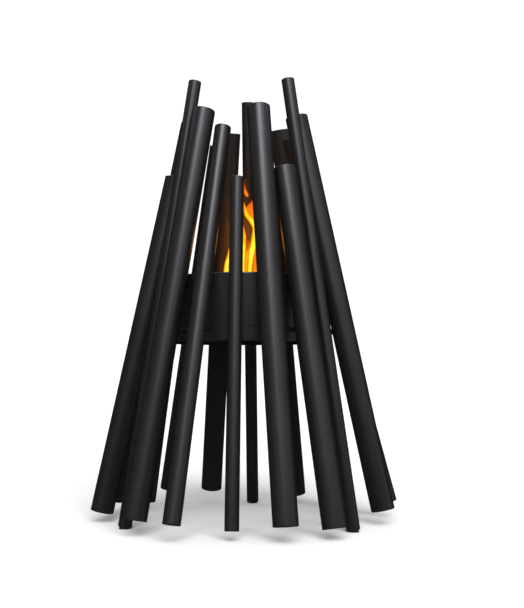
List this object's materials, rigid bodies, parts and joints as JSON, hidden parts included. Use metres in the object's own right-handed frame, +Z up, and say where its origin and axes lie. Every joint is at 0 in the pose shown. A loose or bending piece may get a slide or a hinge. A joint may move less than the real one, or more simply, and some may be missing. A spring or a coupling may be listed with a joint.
{
  "type": "fire pit",
  "caption": "Free-standing black steel fire pit: round tubes of three sizes lean in round a drum that holds a bioethanol burner with a sliding two-part regulator.",
  "frame": {"origin": "centre of the footprint's bounding box on the floor, which lies 4.69 mm in +X and 4.32 mm in -Y from the drum's axis", "axes": "+Z up, -Y to the side that the short small tube of the front stands on, +Y toward the rear leg"},
  "size_m": [0.6489, 0.6212, 0.947],
  "materials": {
    "black_powder_coat": "satin powder coat, very finely textured",
    "stainless_steel": "fine brushed",
    "black_nylon": "matte",
    "ceramic_fibre": "rough, sooted on top"
  },
  "bodies": {
    "frame": {"leg_tube_210": "black_powder_coat", "tall_large_tube_230": "black_powder_coat", "medium_tube_250": "black_powder_coat", "short_small_tube_270": "black_powder_coat", "tall_large_tube_290": "black_powder_coat", "short_large_tube_310": "black_powder_coat", "leg_tube_330": "black_powder_coat", "tall_large_tube_350": "black_powder_coat", "medium_tube_010": "black_powder_coat", "short_small_tube_030": "black_powder_coat", "tall_large_tube_050": "black_powder_coat", "short_large_tube_070": "black_powder_coat", "leg_tube_090": "black_powder_coat", "tall_large_tube_110": "black_powder_coat", "medium_tube_130": "black_powder_coat", "short_small_tube_150": "black_powder_coat", "tall_large_tube_170": "black_powder_coat", "short_large_tube_190": "black_powder_coat", "small_tube_caps": "black_powder_coat", "medium_tube_caps": "black_powder_coat", "large_tube_caps": "black_powder_coat", "leg_glides": "black_nylon", "drum_shell": "black_powder_coat", "drum_rim": "black_powder_coat", "drum_tray": "black_powder_coat", "drum_lap_ring": "black_powder_coat", "upper_tabs": "black_powder_coat", "standoffs": "black_powder_coat", "standoff_bolts": "black_powder_coat", "deck_plate": "black_powder_coat", "deck_brackets": "black_powder_coat", "deck_screws": "stainless_steel", "rail_front": "stainless_steel", "rail_rear": "stainless_steel"},
    "burner": {"burner_cup": "stainless_steel", "burner_top_ring": "stainless_steel", "ceramic_wick": "ceramic_fibre", "flame_screen": "stainless_steel"},
    "regulator_right": {"shutter_right": "stainless_steel", "knob_right": "stainless_steel"},
    "regulator_left": {"shutter_left": "stainless_steel", "knob_left": "stainless_steel"}
  },
  "joints": [
    {"name": "regulator_right_slide", "type": "slide", "parent": "frame", "child": "regulator_right", "axis": [-1, 0, 0], "range_m": [0, 0.0765]},
    {"name": "regulator_left_slide", "type": "slide", "parent": "frame", "child": "regulator_left", "axis": [1, 0, 0], "range_m": [0, 0.0765]},
    {"name": "burner_lift", "type": "slide", "parent": "frame", "child": "burner", "axis": [0, 0, 1], "range_m": [0, 0.13]}
  ],
  "couplings": [
    {"joint": "regulator_left_slide", "follows": "regulator_right_slide", "ratio": 1}
  ]
}
